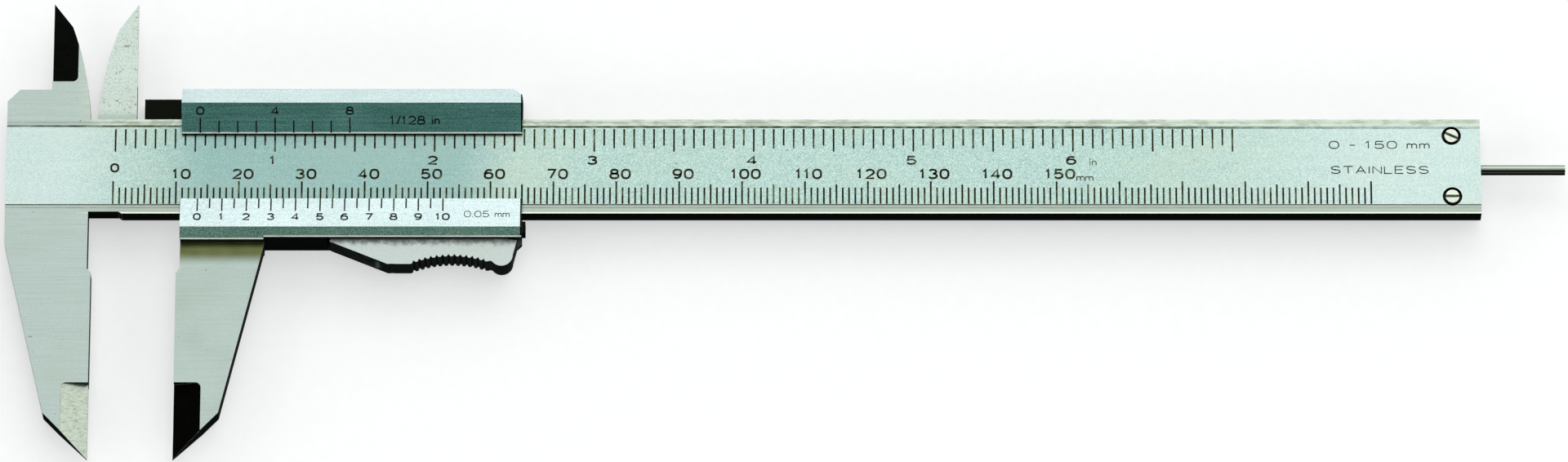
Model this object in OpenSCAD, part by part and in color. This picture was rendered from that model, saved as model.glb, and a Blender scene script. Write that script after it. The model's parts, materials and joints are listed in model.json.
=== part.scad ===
// Vernier caliper, 150 mm / 6 in, with cross-tip inside jaws, a thumb-lever lock and a round depth rod.
// The tool lies on its back, scales up: +X towards the depth rod, +Y towards the inside jaws, +Z out
// of the scale face. The modules draw it with X = 0 at the main scale's zero line, Y = 0 on the beam's
// centre line and Z = 0 on the face it rests on; at_origin() then puts the middle of its box at 0, 0.

/* [Beam] */
// Width of the beam
beam_w = 16; // [15:0.5:18]
// Thickness of the beam and of the jaws
beam_t = 3.2; // [3:0.1:3.6]
// From the main scale's zero line to the beam's right end
beam_right = 217.5; // [210:0.5:240]
// From the main scale's zero line to the head's left end
head_left = 17.1; // [16:0.1:20]
// Height of the scale band over the rest of the beam
band_h = 0.15; // [0.05:0.05:0.3]
// Upper edge of the scale band, from the centre line
band_top = 6.8; // [6:0.1:7.2]
// Lower edge of the scale band, from the centre line
band_low = 6.5; // [6:0.1:7.2]

/* [Jaws] */
// Distance between the outside measuring faces in the rest pose
opening = 13.5; // [5:0.5:40]
// From the main scale's zero line back to the fixed measuring face
zero_offset = 3.3; // [3:0.1:4]
// Reach of the outside jaws, from the centre line to their tips
jaw_reach = 49; // [46:0.5:55]
// Reach of the inside jaws, from the centre line to their tips
inside_reach = 28.3; // [26:0.1:32]
// Width of the ground pockets that thin the outside tips
tip_w = 4.3; // [3.5:0.1:5]
// Length of the thinned outside tips
tip_len = 12.5; // [10:0.5:16]
// Thickness left at a knife edge
knife_t = 0.5; // [0.4:0.1:0.8]

/* [Slide] */
// Length of the slide
slide_len = 54.2; // [52:0.1:60]
// Thickness of the wall behind the beam
back_t = 1.2; // [1:0.1:1.5]
// Running clearance between slide and beam
run_gap = 0.05; // [0.03:0.01:0.08]
// How far each vernier lip reaches over the beam
lip_reach = 2.25; // [2:0.05:2.6]
// Slope of the upper vernier's bevel, in degrees
upper_slope = 25.8; // [24:0.2:30]
// Slope of the lower vernier's bevel, in degrees
lower_slope = 16.8; // [16:0.2:20]
// Slope of the chamfers behind both bevels, in degrees
chamfer_slope = 20; // [12:1:25]

/* [Depth rod] */
// Diameter of the depth rod
rod_d = 1.6; // [1.4:0.1:1.7]
// Height of the rod's axis over the beam's back
rod_z = 1.4; // [1.3:0.05:1.6]

/* [Lever] */
// Thickness of the thumb lever
lever_t = 4.4; // [4:0.1:4.4]
// Number of teeth in the thumb pad
pad_teeth = 14; // [10:1:16]
// Radius of the thumb pad's hollow
pad_r = 17; // [16:0.5:19]

/* [Hidden] */
$fn = 64;

eps = 0.5;                              // how far a cutter runs past the face it opens
lap = 1;                                // how far joined bodies reach into each other
slack = 0.1;                            // play round a small part that lies in a pocket
slide_fit = 0.01;                       // play between a pin or screw and its bore
half_w = beam_w / 2;
back_z = back_t + run_gap;              // the beam's back
face_z = back_z + beam_t;               // the beam's and jaws' front
mid_z = back_z + beam_t / 2;            // plane where the two inside jaws pass each other
band_z = face_z + band_h;
cross_gap = 0.02;                       // half the gap between the crossing inside jaws

// outside jaws
fixed_x = -zero_offset;
moving_x = fixed_x + opening;
relief = 0.6;                           // depth of the recess beside each measuring face
relief_y = -17.3;                       // where that recess ends
relief_run = 0.7;                       // length of its slope
jaw_root_w = 13.8;                      // fixed jaw's width at its shoulder
moving_root_w = 14;
shoulder_y = -13;
heel_y = -jaw_reach + 7.4;              // where a jaw's back turns towards its tip
heel_w = 7.1;
corner_relief = 0.33;                   // step in the beam's lower edge beside the fixed jaw
corner_x0 = 0.9;                        // start and end of that step's slope
corner_x1 = 1.4;
pocket_step = 0.12;                     // height of the wall round a ground pocket
pocket_r = 0.9;                         // radius of that pocket's inner corner

// inside jaws
knife_x = -10.05;                       // the fixed inside jaw's knife edge
inside_w = 6.35;                        // width of an inside jaw at its root
inside_r = 57;                          // radius of its curved back
inside_base_y = 5;                      // height of that arc's centre
inside_tip_y = inside_reach - 4.3;      // where the curve turns into the flat at the tip
inside_pocket_w = 4.1;
inside_pocket_y = 14.5;
head_w = 6.2;                           // from the knife edge to the right end of the head's top
head_top = 13.1;
head_corner = 2;

// slide
slide_x0 = moving_x + 0.6;
slide_x1 = slide_x0 + slide_len;
gib_room = 1.05;                        // space over the beam's upper edge for the gib
gib_inset = 3;                          // from either end of the slide to the gib
gib_gap = 0.03;                         // running gap at the gib and at the shoe
channel_low = -half_w - run_gap;
channel_top = half_w + gib_room;
lip_z = band_z + run_gap;               // underside of both lips
lip_edge = 0.6;                         // height of a lip's thin front edge
upper_edge_y = half_w - lip_reach - 0.45;
lower_edge_y = -half_w + lip_reach;
upper_bevel_w = 4.45;
lower_bevel_w = 5.35;
upper_chamfer_w = 2.75;
lower_chamfer_w = 1.55;
upper_ridge_z = lip_z + lip_edge + upper_bevel_w * tan(upper_slope);
lower_ridge_z = lip_z + lip_edge + lower_bevel_w * tan(lower_slope);
lip_low_z = lower_ridge_z - lower_chamfer_w * tan(chamfer_slope);   // the lower lip's outer edge
slide_top = upper_edge_y + upper_bevel_w + upper_chamfer_w;
slide_low = lower_edge_y - lower_bevel_w - lower_chamfer_w;
web_low = -9.9;                         // the guide web under the beam ends here
wing_top = 12.05;                       // top of the low wall between lip and inside jaw
wing_x0 = slide_x0 - 6.1;               // where that wall starts, after the notch
wing_low = -6;                          // the back wall's lower edge left of the lips
moving_knife_x = knife_x + opening;
foot_h = 0.35;                          // how far the lower lip reaches down over the jaw's root
foot_w = 13.3;
foot_run = 1.4;                         // length of the slope behind the foot
post_low = -11.3;                       // lower end of the post between lip and wall, right of the lever
post_proud = 0.6;                       // how far that post stands out of the slide's end
post_z = 2;                             // back of the post
lip_corner_x = 1.5;                     // corner cut off the upper lip's right end
lip_corner_y = 1.2;
wall_corner = 0.7;                      // corner cut off the back wall's right end

// lever, shoe, spring and pins
lever_z = back_t + run_gap;
lever_mid_z = lever_z + lever_t / 2;
lever_x0 = slide_x0 + 23.8;
lever_x1 = slide_x1 - 0.6;
nose_y = -13.2;                         // front corner of the lever's nose
belly_x = lever_x0 + 9.2;               // where the nose's slope meets the belly
belly_y = -17;
belly_r = 3.9;
thumb_r = 1.8;                          // the round end below the thumb pad
thumb_x = lever_x1 - 0.75 - thumb_r;
thumb_y = -15.5;
pivot_x = slide_x0 + 36.1;
pivot_y = -11.4;
pivot_r = 0.8;
pivot_play = 0.05;
pin_sunk = 0.5;                         // how far the pivot pin reaches into the lip over the lever
pocket_x0 = lever_x0 - 0.5;
pocket_x1 = slide_x1 - 1.9;
pocket_top = lever_z + lever_t + 0.07;
inner_y = -10.15;                       // lever's edge that faces the web, left of the pivot
press_y = -11.15;                       // the same edge right of the pivot, with room to press
shoe_x0 = slide_x0 + 27.2;
shoe_x1 = shoe_x0 + 6.4;
shoe_low = -9.6;
adjust_x = slide_x0 + 30.4;
adjust_r = 0.97;
adjust_y = -13.9;                       // outer end of the adjusting screw
counter_r = 1.75;                       // radius of the counterbore in the lever's nose
counter_y = -14.8;                      // where that counterbore ends
adjust_gap = 0.08;                      // play between adjusting screw and shoe
spring_x = slide_x0 + 45.6;
spring_y0 = -13.8;
spring_y1 = -9.45;
spring_r = 1.05;
seat_r = spring_r + 0.4;                // radius of the bores that hold the spring
wire_r = 0.2;
spring_turns = 5;
pad_cx = slide_x0 + 43.15;              // centre of the thumb pad's hollow
pad_cy = -15.7 - pad_r;
pad_half = 22;                          // half the pad's angle
tooth_h = 0.38;

// depth rod
rod_r = rod_d / 2;
rod_axis_z = back_z + rod_z;
groove_w = rod_d + 0.2;
rod_x0 = slide_x0 + 3;
rod_x1 = beam_right + opening;
carrier_x0 = slide_x0 + 2.4;
carrier_len = 12;
carrier_top = rod_axis_z - 0.5;
rod_pin_r = 0.35;
rod_pin_inset = 2.5;
rod_pin_h = 0.6;                        // how far a rod pin reaches over the rod's axis
pin_z = 0.02;                           // back end of every pin
rod_step_len = 4;                       // step ground at the measuring end
rod_step_h = 0.3;

// end plate and screws
plate_w = 11.3;
plate_half = 7.2;
plate_inset = 0.3;                      // from the beam's end back to the plate's
screw_x = beam_right - 4.6;
screw_y = 5.15;
screw_head_r = 1.1;
screw_ring = 0.45;                      // gap between an end screw's head and its seat
screw_head_h = 1;
screw_proud = 0.05;                     // how far an end screw stands over the scale band
screw_r = 0.75;
slot_w = 0.46;
slot_depth = 0.35;
gib_screw_r = 0.9;
small_slot_w = 0.3;                     // slot of the gib screws and the adjusting screw
small_slot_depth = 0.5;

gib_screw_y = slide_top - 0.25;         // outer end of a gib screw

// overall box, which sets the origin
mid_x = (rod_x1 - head_left) / 2;
mid_y = (inside_reach - jaw_reach) / 2;

// places of the paired screws and pins, i = 0 on the left and 1 on the right
function gib_screw_x(i) = slide_x0 + 12 + i * 30;
function rod_pin_x(i) = carrier_x0 + rod_pin_inset + i * (carrier_len - 2 * rod_pin_inset);

// ---- helpers ----
module at_origin() translate([-mid_x, -mid_y, 0]) children();

// A block between two corners
module block(a, b) translate(a) cube(b - a);

// An outline in the XY plane, raised from z0 to z1
module plate(z0, z1) translate([0, 0, z0]) linear_extrude(z1 - z0) children();

// An outline in the YZ plane, drawn out from x0 to x1
module along_x(x0, x1) translate([x0, 0, 0]) rotate([90, 0, 90]) linear_extrude(x1 - x0) children();

// An outline in the XZ plane, drawn out from y0 to y1
module along_y(y0, y1) translate([0, y1, 0]) rotate([90, 0, 0]) linear_extrude(y1 - y0) children();

// A round bar or hole along Y
module rod_y(x, z, r, y0, y1) translate([x, y0, z]) rotate([-90, 0, 0]) cylinder(h = y1 - y0, r = r);

// A round bar or hole along Z
module rod_z(x, y, r, z0, z1) translate([x, y, z0]) cylinder(h = z1 - z0, r = r);

// ---- outlines ----

// Outside jaw with its measuring face on x = 0 and its body on the side of negative x;
// root_w and the shoulder set how its back slopes
module outside_jaw_2d(top, root_w)
    polygon([[-relief, top], [-root_w, top], [-root_w, shoulder_y], [-heel_w, heel_y], [0, -jaw_reach],
             [0, relief_y - relief_run], [-relief, relief_y]]);

// Rectangle between two corners with its corner at x0, y1 rounded
module one_round(x0, y0, x1, y1) {
    translate([x0 + pocket_r, y0]) square([x1 - x0 - pocket_r, y1 - y0]);
    translate([x0, y0]) square([pocket_r, y1 - y0 - pocket_r]);
    translate([x0 + pocket_r, y1 - pocket_r]) circle(r = pocket_r);
}

// Wedge that thins an outside tip: measuring edge on x = 0, deeper towards that edge
module tip_wedge()
    intersection() {
        along_y(-jaw_reach - eps, -jaw_reach + tip_len)
            polygon([[-tip_w, face_z - pocket_step], [-tip_w, face_z + eps], [eps, face_z + eps],
                     [eps, mid_z + knife_t / 2], [0, mid_z + knife_t / 2]]);
        plate(mid_z, face_z + 2 * eps)
            one_round(-tip_w, -jaw_reach - 2 * eps, 2 * eps, -jaw_reach + tip_len);
    }

// The same wedge on the back of the tip
module tip_wedge_back() translate([0, 0, 2 * mid_z]) mirror([0, 0, 1]) tip_wedge();

module outside_jaw(top, root_w)
    difference() {
        plate(back_z, face_z) outside_jaw_2d(top, root_w);
        tip_wedge();
        tip_wedge_back();
    }

function inside_back(y) = inside_w - inside_r + sqrt(inside_r ^ 2 - (y - inside_base_y) ^ 2);

// Inside jaw with its knife edge on x = 0 and its curved back on the side of positive x
module inside_jaw_2d(base) {
    steps = 16;
    curve = [for (i = [0:steps]) let (y = base + (inside_tip_y - base) * i / steps) [inside_back(y), y]];
    polygon(concat([[0, base]], curve, [[0, inside_reach]]));
}

// Inside jaw in the front half of the thickness, its knife edge ground from the front
module inside_jaw(base)
    difference() {
        plate(mid_z + cross_gap, face_z) inside_jaw_2d(base);
        intersection() {
            along_y(inside_pocket_y, inside_reach + eps)
                polygon([[-eps, mid_z + cross_gap + knife_t / 2], [0, mid_z + cross_gap + knife_t / 2],
                         [inside_pocket_w, face_z - pocket_step], [inside_pocket_w, face_z + eps],
                         [-eps, face_z + eps]]);
            plate(mid_z, face_z + 2 * eps)
                mirror([1, 0]) mirror([0, 1])
                    one_round(-inside_pocket_w, -inside_reach - 2 * eps, 2 * eps, -inside_pocket_y);
        }
    }

// ---- beam and what is fixed to it ----
module screw_seat(y) {
    rod_z(screw_x, y, screw_head_r + screw_ring, face_z - screw_head_h, band_z + eps);
    rod_z(screw_x, y, screw_r + slack, back_z - eps, face_z);
}

module beam()
    color("silver") at_origin()
    difference() {
        union() {
            block([-head_left, -half_w, back_z], [beam_right, half_w, face_z]);
            block([-head_left, -band_low, face_z - slack], [beam_right, band_top, band_z]);
            translate([fixed_x, 0, 0]) outside_jaw(-half_w + lap, jaw_root_w);
            plate(mid_z + cross_gap, face_z)
                polygon([[-head_left, half_w - lap], [knife_x + head_w, half_w - lap],
                         [knife_x + head_w, half_w], [knife_x, head_top], [-head_left + head_corner, head_top],
                         [-head_left, head_top - head_corner]]);
            translate([knife_x, 0, 0]) inside_jaw(half_w - lap);
        }
        // step in the lower edge beside the fixed jaw
        plate(back_z - eps, face_z + eps)
            polygon([[fixed_x - relief, -half_w - eps], [fixed_x - relief, -half_w + corner_relief],
                     [corner_x0, -half_w + corner_relief], [corner_x1, -half_w],
                     [corner_x1, -half_w - eps]]);
        // groove for the depth rod, with a round bottom
        along_x(fixed_x, beam_right + eps) {
            translate([-groove_w / 2, back_z - eps]) square([groove_w, rod_z + eps]);
            translate([0, rod_axis_z]) circle(r = groove_w / 2);
        }
        screw_seat(screw_y);
        screw_seat(-screw_y);
    }

module end_stop_plate()
    color("gray") at_origin()
    difference() {
        block([beam_right - plate_inset - plate_w, -plate_half, 0],
              [beam_right - plate_inset, plate_half, back_z]);
        rod_z(screw_x, screw_y, screw_r, -eps, back_z + eps);
        rod_z(screw_x, -screw_y, screw_r, -eps, back_z + eps);
    }

// Slotted screw, its slot turned by angle
module end_screw(y, angle)
    color("lightgray") at_origin()
    difference() {
        union() {
            rod_z(screw_x, y, screw_head_r, face_z - screw_head_h, band_z + screw_proud);
            rod_z(screw_x, y, screw_r - slide_fit, slack, face_z);
        }
        translate([screw_x, y, face_z - slot_depth]) rotate(angle)
            block([-2 * screw_head_r, -slot_w / 2, 0], [2 * screw_head_r, slot_w / 2, lap]);
    }
module end_screw_upper() end_screw(screw_y, -25);
module end_screw_lower() end_screw(-screw_y, 0);

// ---- slide ----

// Cross-section through the slide: back wall, rails and both lips round the beam's channel
module slide_section()
    polygon([[slide_low, 0], [slide_low, lip_low_z],
             [lower_edge_y - lower_bevel_w, lower_ridge_z], [lower_edge_y, lip_z + lip_edge],
             [lower_edge_y, lip_z], [channel_low, lip_z], [channel_low, back_t], [channel_top, back_t],
             [channel_top, lip_z], [upper_edge_y, lip_z], [upper_edge_y, lip_z + lip_edge],
             [upper_edge_y + upper_bevel_w, upper_ridge_z],
             [slide_top, upper_ridge_z - upper_chamfer_w * tan(chamfer_slope)], [slide_top, 0]]);

// Part of the wing, joined to the back wall and standing up to the plane where the jaws cross
module wing_part(x0, x1, top) {
    block([x0, wing_low, 0], [x1, top, back_t]);
    block([x0, half_w + run_gap, 0], [x1, top, mid_z - cross_gap]);
}

// Wing left of the lips, which carries the moving inside jaw past the fixed one
module slide_wing() {
    jaw_x0 = moving_knife_x - inside_w + 0.1;
    block([jaw_x0, wing_low, 0], [slide_x0 + lap, half_w + run_gap, back_t]);
    wing_part(jaw_x0, moving_knife_x, half_w + lap);
    wing_part(wing_x0, slide_x0 + lap, wing_top);
    translate([moving_knife_x, 0, 2 * mid_z]) mirror([0, 0, 1]) mirror([1, 0, 0])
        inside_jaw(half_w + run_gap);
}

// Outside jaw with the lower lip's foot in front of its root and a slope up to it on the back
module moving_outside_jaw() {
    translate([moving_x + 0.02, 0, 0]) mirror([1, 0, 0]) outside_jaw(slide_low + lap, moving_root_w);
    along_x(slide_x0 + slack, slide_x0 + foot_w)
        polygon([[slide_low + lap, 0], [slide_low, 0], [slide_low - foot_run, back_z],
                 [slide_low - foot_run, back_z + slack], [slide_low - foot_h, face_z],
                 [slide_low - foot_h, lip_low_z - foot_h * tan(chamfer_slope)], [slide_low, lip_low_z],
                 [slide_low + lap, lip_low_z]]);
}

module slide()
    color("gainsboro") at_origin()
    difference() {
        union() {
            along_x(slide_x0, slide_x1) slide_section();
            slide_wing();
            moving_outside_jaw();
            block([slide_x1 - lap, post_low, post_z],
                  [slide_x1 + post_proud, web_low + lap / 2, face_z + slack]);
        }
        // corners of the upper lip and of the back wall at the right end
        plate(mid_z, upper_ridge_z + lap)
            polygon([[slide_x1 - lip_corner_x, slide_top + eps], [slide_x1 - lip_corner_x, slide_top],
                     [slide_x1, slide_top - lip_corner_y], [slide_x1 + eps, slide_top - lip_corner_y],
                     [slide_x1 + eps, slide_top + eps]]);
        plate(-eps, back_t)
            polygon([[slide_x1 - wall_corner, slide_low - eps], [slide_x1 - wall_corner, slide_low],
                     [slide_x1, slide_low + wall_corner], [slide_x1 + eps, slide_low + wall_corner],
                     [slide_x1 + eps, slide_low - eps]]);
        // pocket for the lever, open below and at the right end, and the shoe's pocket up to the beam
        block([pocket_x0, slide_low - lap, back_t], [pocket_x1, web_low, pocket_top]);
        block([pocket_x1 - lap, slide_low - lap, back_t], [slide_x1 + lap, post_low, pocket_top]);
        block([shoe_x0 - slack, web_low - slack, lever_z], [shoe_x1 + slack, channel_low + slack, face_z]);
        // bores for the pins, the spring's seat and the gib screws
        rod_z(pivot_x, pivot_y, pivot_r, -eps, pocket_top + pin_sunk);
        rod_y(spring_x, lever_mid_z, seat_r, web_low - slack, spring_y1);
        for (i = [0, 1]) {
            rod_z(rod_pin_x(i), 0, rod_pin_r + slide_fit, -eps, back_t + eps);
            rod_y(gib_screw_x(i), mid_z, gib_screw_r, channel_top - slack, slide_top + eps);
        }
    }

module gib_strip()
    color("peru") at_origin()
    block([slide_x0 + gib_inset, half_w + gib_gap, back_t + slack],
          [slide_x1 - gib_inset, channel_top - run_gap, face_z - slack]);

// Slotted set screw that bears on the gib
module gib_screw(i)
    color("dimgray") at_origin()
    difference() {
        rod_y(gib_screw_x(i), mid_z, gib_screw_r - slide_fit, channel_top - run_gap + slide_fit,
              gib_screw_y);
        block([gib_screw_x(i) - lap, gib_screw_y - small_slot_depth, mid_z - small_slot_w / 2],
              [gib_screw_x(i) + lap, slide_top, mid_z + small_slot_w / 2]);
    }
module gib_screw_left() gib_screw(0);
module gib_screw_right() gib_screw(1);

// ---- depth rod ----
module depth_rod()
    color("silver") at_origin()
    difference() {
        translate([rod_x0, 0, rod_axis_z]) rotate([0, 90, 0]) cylinder(h = rod_x1 - rod_x0, r = rod_r);
        // step ground at the measuring end
        block([rod_x1 - rod_step_len, -rod_r - eps, rod_axis_z - rod_r - eps],
              [rod_x1 + eps, rod_r + eps, rod_axis_z - rod_r + rod_step_h]);
        for (i = [0, 1])
            rod_z(rod_pin_x(i), 0, rod_pin_r + slide_fit, 0, face_z);
    }

// Saddle that holds the rod off the back wall, in line with the beam's groove
module rod_carrier()
    color("gray") at_origin()
    difference() {
        block([carrier_x0, -rod_r, back_t], [carrier_x0 + carrier_len, rod_r, carrier_top]);
        translate([carrier_x0 - eps, 0, rod_axis_z]) rotate([0, 90, 0])
            cylinder(h = carrier_len + 2 * eps, r = rod_r);
        for (i = [0, 1])
            rod_z(rod_pin_x(i), 0, rod_pin_r + slide_fit, 0, face_z);
    }

module rod_pin(i)
    color("dimgray") at_origin()
    rod_z(rod_pin_x(i), 0, rod_pin_r, pin_z, rod_axis_z + rod_pin_h);
module rod_pin_left() rod_pin(0);
module rod_pin_right() rod_pin(1);

// ---- lever lock ----
module lever_pivot_pin()
    color("dimgray") at_origin()
    rod_z(pivot_x, pivot_y, pivot_r, pin_z, pocket_top + pin_sunk - run_gap);

// Thumb lever from the front: straight nose, two bumps and a hollow, toothed pad between them
module lever_2d()
    difference() {
        union() {
            polygon([[lever_x0 + 0.5, inner_y], [lever_x0, nose_y], [belly_x, belly_y],
                     [belly_x + 5.8, belly_y + 0.4], [thumb_x - 3, belly_y + 0.4],
                     [thumb_x, thumb_y - 0.9], [thumb_x + thumb_r, thumb_y], [lever_x1 - 0.1, -13],
                     [pocket_x1 - 0.3, -12.8], [pocket_x1 - 0.3, press_y], [pivot_x + 3, press_y],
                     [pivot_x + 1.6, inner_y]]);
            intersection() {
                translate([belly_x + 1.3, belly_y + belly_r]) circle(r = belly_r);
                translate([lever_x0, belly_y - lap]) square([20, inner_y - belly_y + lap]);
            }
            translate([thumb_x, thumb_y]) circle(r = thumb_r);
            polygon([[belly_x + 0.8, nose_y], [belly_x + 1.3, belly_y], [belly_x + 3.8, belly_y],
                     [belly_x + 8.8, nose_y - 0.8]]);
        }
        translate([pad_cx, pad_cy]) circle(r = pad_r, $fn = 128);
        translate([pad_cx, pad_cy])
            for (i = [0:pad_teeth - 1])
                rotate(pad_half * (1 - (2 * i + 1) / pad_teeth))
                    polygon([[-tooth_h, pad_r - 0.1], [0, pad_r + tooth_h], [tooth_h, pad_r - 0.1]]);
    }

module thumb_lever()
    color("whitesmoke") at_origin()
    difference() {
        plate(lever_z, lever_z + lever_t) lever_2d();
        rod_z(pivot_x, pivot_y, pivot_r + pivot_play, 0, pocket_top + lap);
        // stepped hole for the adjusting screw
        rod_y(adjust_x, lever_mid_z, counter_r, belly_y - lap, counter_y);
        rod_y(adjust_x, lever_mid_z, adjust_r + gib_gap, counter_y - eps, inner_y + eps);
        // blind hole for the spring
        rod_y(spring_x, lever_mid_z, seat_r + run_gap, spring_y0, press_y + eps);
    }

module brake_adjust_screw()
    color("dimgray") at_origin()
    difference() {
        rod_y(adjust_x, lever_mid_z, adjust_r, adjust_y, shoe_low - adjust_gap);
        block([adjust_x - small_slot_w / 2, adjust_y - eps, lever_mid_z - lap],
              [adjust_x + small_slot_w / 2, adjust_y + small_slot_depth, lever_mid_z + lap]);
    }

module brake_shoe()
    color("peru") at_origin()
    block([shoe_x0, shoe_low, lever_z + slack], [shoe_x1, -half_w - gib_gap, face_z - slack]);

// Closed coil spring along Y: a round wire swept along a helix
function helix(t) = [spring_r * cos(360 * spring_turns * t), spring_r * sin(360 * spring_turns * t)];

module lever_spring() {
    sides = 8;
    rings = 16 * spring_turns;
    y0 = spring_y0 + wire_r + 0.02;
    y1 = spring_y1 - wire_r - 0.02;
    points = [for (i = [0:rings], k = [0:sides - 1])
                 let (t = i / rings, out = helix(t) / spring_r, a = 360 * k / sides)
                 [spring_x + helix(t)[0] + wire_r * cos(a) * out[0],
                  y0 + (y1 - y0) * t + wire_r * sin(a),
                  lever_mid_z + helix(t)[1] + wire_r * cos(a) * out[1]]];
    walls = [for (i = [0:rings - 1], k = [0:sides - 1])
                let (a = i * sides + k, b = i * sides + (k + 1) % sides)
                [a, b, b + sides, a + sides]];
    ends = [[for (k = [sides - 1:-1:0]) k], [for (k = [0:sides - 1]) rings * sides + k]];
    color("dimgray") at_origin() polyhedron(points, concat(walls, ends));
}

beam();
end_stop_plate();
end_screw_upper();
end_screw_lower();
slide();
gib_strip();
gib_screw_left();
gib_screw_right();
depth_rod();
rod_carrier();
rod_pin_left();
rod_pin_right();
lever_pivot_pin();
lever_spring();
thumb_lever();
brake_adjust_screw();
brake_shoe();
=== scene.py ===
import json
import math
from collections import namedtuple

import bmesh
import bpy
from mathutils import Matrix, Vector
from mathutils.bvhtree import BVHTree


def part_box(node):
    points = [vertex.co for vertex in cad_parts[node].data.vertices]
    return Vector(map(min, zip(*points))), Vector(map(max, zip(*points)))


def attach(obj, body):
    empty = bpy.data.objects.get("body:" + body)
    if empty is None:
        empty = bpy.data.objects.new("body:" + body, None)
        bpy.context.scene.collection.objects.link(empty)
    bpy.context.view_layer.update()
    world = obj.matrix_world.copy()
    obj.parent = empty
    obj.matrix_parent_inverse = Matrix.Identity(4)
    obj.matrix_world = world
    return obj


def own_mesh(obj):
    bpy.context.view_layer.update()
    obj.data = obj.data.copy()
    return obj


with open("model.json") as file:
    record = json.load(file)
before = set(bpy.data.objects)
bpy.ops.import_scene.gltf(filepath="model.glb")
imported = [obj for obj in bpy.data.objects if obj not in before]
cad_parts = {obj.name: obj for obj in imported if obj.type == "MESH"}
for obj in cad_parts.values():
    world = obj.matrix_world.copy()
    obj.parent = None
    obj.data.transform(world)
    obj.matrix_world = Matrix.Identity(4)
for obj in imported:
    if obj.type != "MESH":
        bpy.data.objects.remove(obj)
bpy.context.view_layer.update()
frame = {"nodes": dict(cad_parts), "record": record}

MM = 0.001
scene = bpy.context.scene
nodes = frame["nodes"]
mounts = {m["name"]: m for m in frame["record"]["mounts"]}

# ---- places that come from the frame ----
RELIEF = 3.3                     # from the fixed jaw's measuring face to the zero line
VERNIER_RELIEF = 3.28            # the same on the moving jaw, to the vernier's zero
band_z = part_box("beam")[1].z     # the scale band's face
rod_low, rod_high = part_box("depth_rod")
centre_y = (rod_low.y + rod_high.y) / 2
zero_x = mounts["fixed_outside_face"]["pos_m"][0] + RELIEF * MM
vernier_x = (mounts["moving_outside_face"]["pos_m"][0] - zero_x) / MM + VERNIER_RELIEF
LEVER_Z0, LEVER_Z1 = (corner.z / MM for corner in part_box("thumb_lever"))

# ---- places on the beam and the slide ----
BEAM_HALF = 8.0                  # half the beam's width
BAND_TOP, BAND_LOW = 6.8, -6.5   # the scale band's long edges
HEAD_X = -17.1                   # the fixed jaws' back
BEAM_END = 217.5                 # the beam's right end
WELL_RUN = 6.5                   # stretch at that end that holds the screw wells
FACE_TOP = -17.5                 # upper end of the fixed jaw's measuring face
POCKET_END = -36.5               # upper end of the ground pocket near the fixed jaw's tip
LIP_X0 = vernier_x - 2.7         # left and right ends of the slide's lips
LIP_X1 = vernier_x + 51.5
FOOT_X1 = LIP_X0 + 13.3          # the moving jaw's right edge at its root
UP_EDGE, LOW_EDGE = 5.3, -5.75   # the lips' thin edges beside the scales
SLIDE_LOW = -12.65               # the lower lip's outer edge
CHAMFER = 2.0                    # height of the chamfer along that edge
ROOT_Z = 5.0                     # just over the moving jaw's face
INSIDE_JAW_X = 5.0               # the moving inside jaw is left of this


def at(x_mm, y_mm, z=0.0):
    return Vector((zero_x + x_mm * MM, centre_y + y_mm * MM, z))


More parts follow.
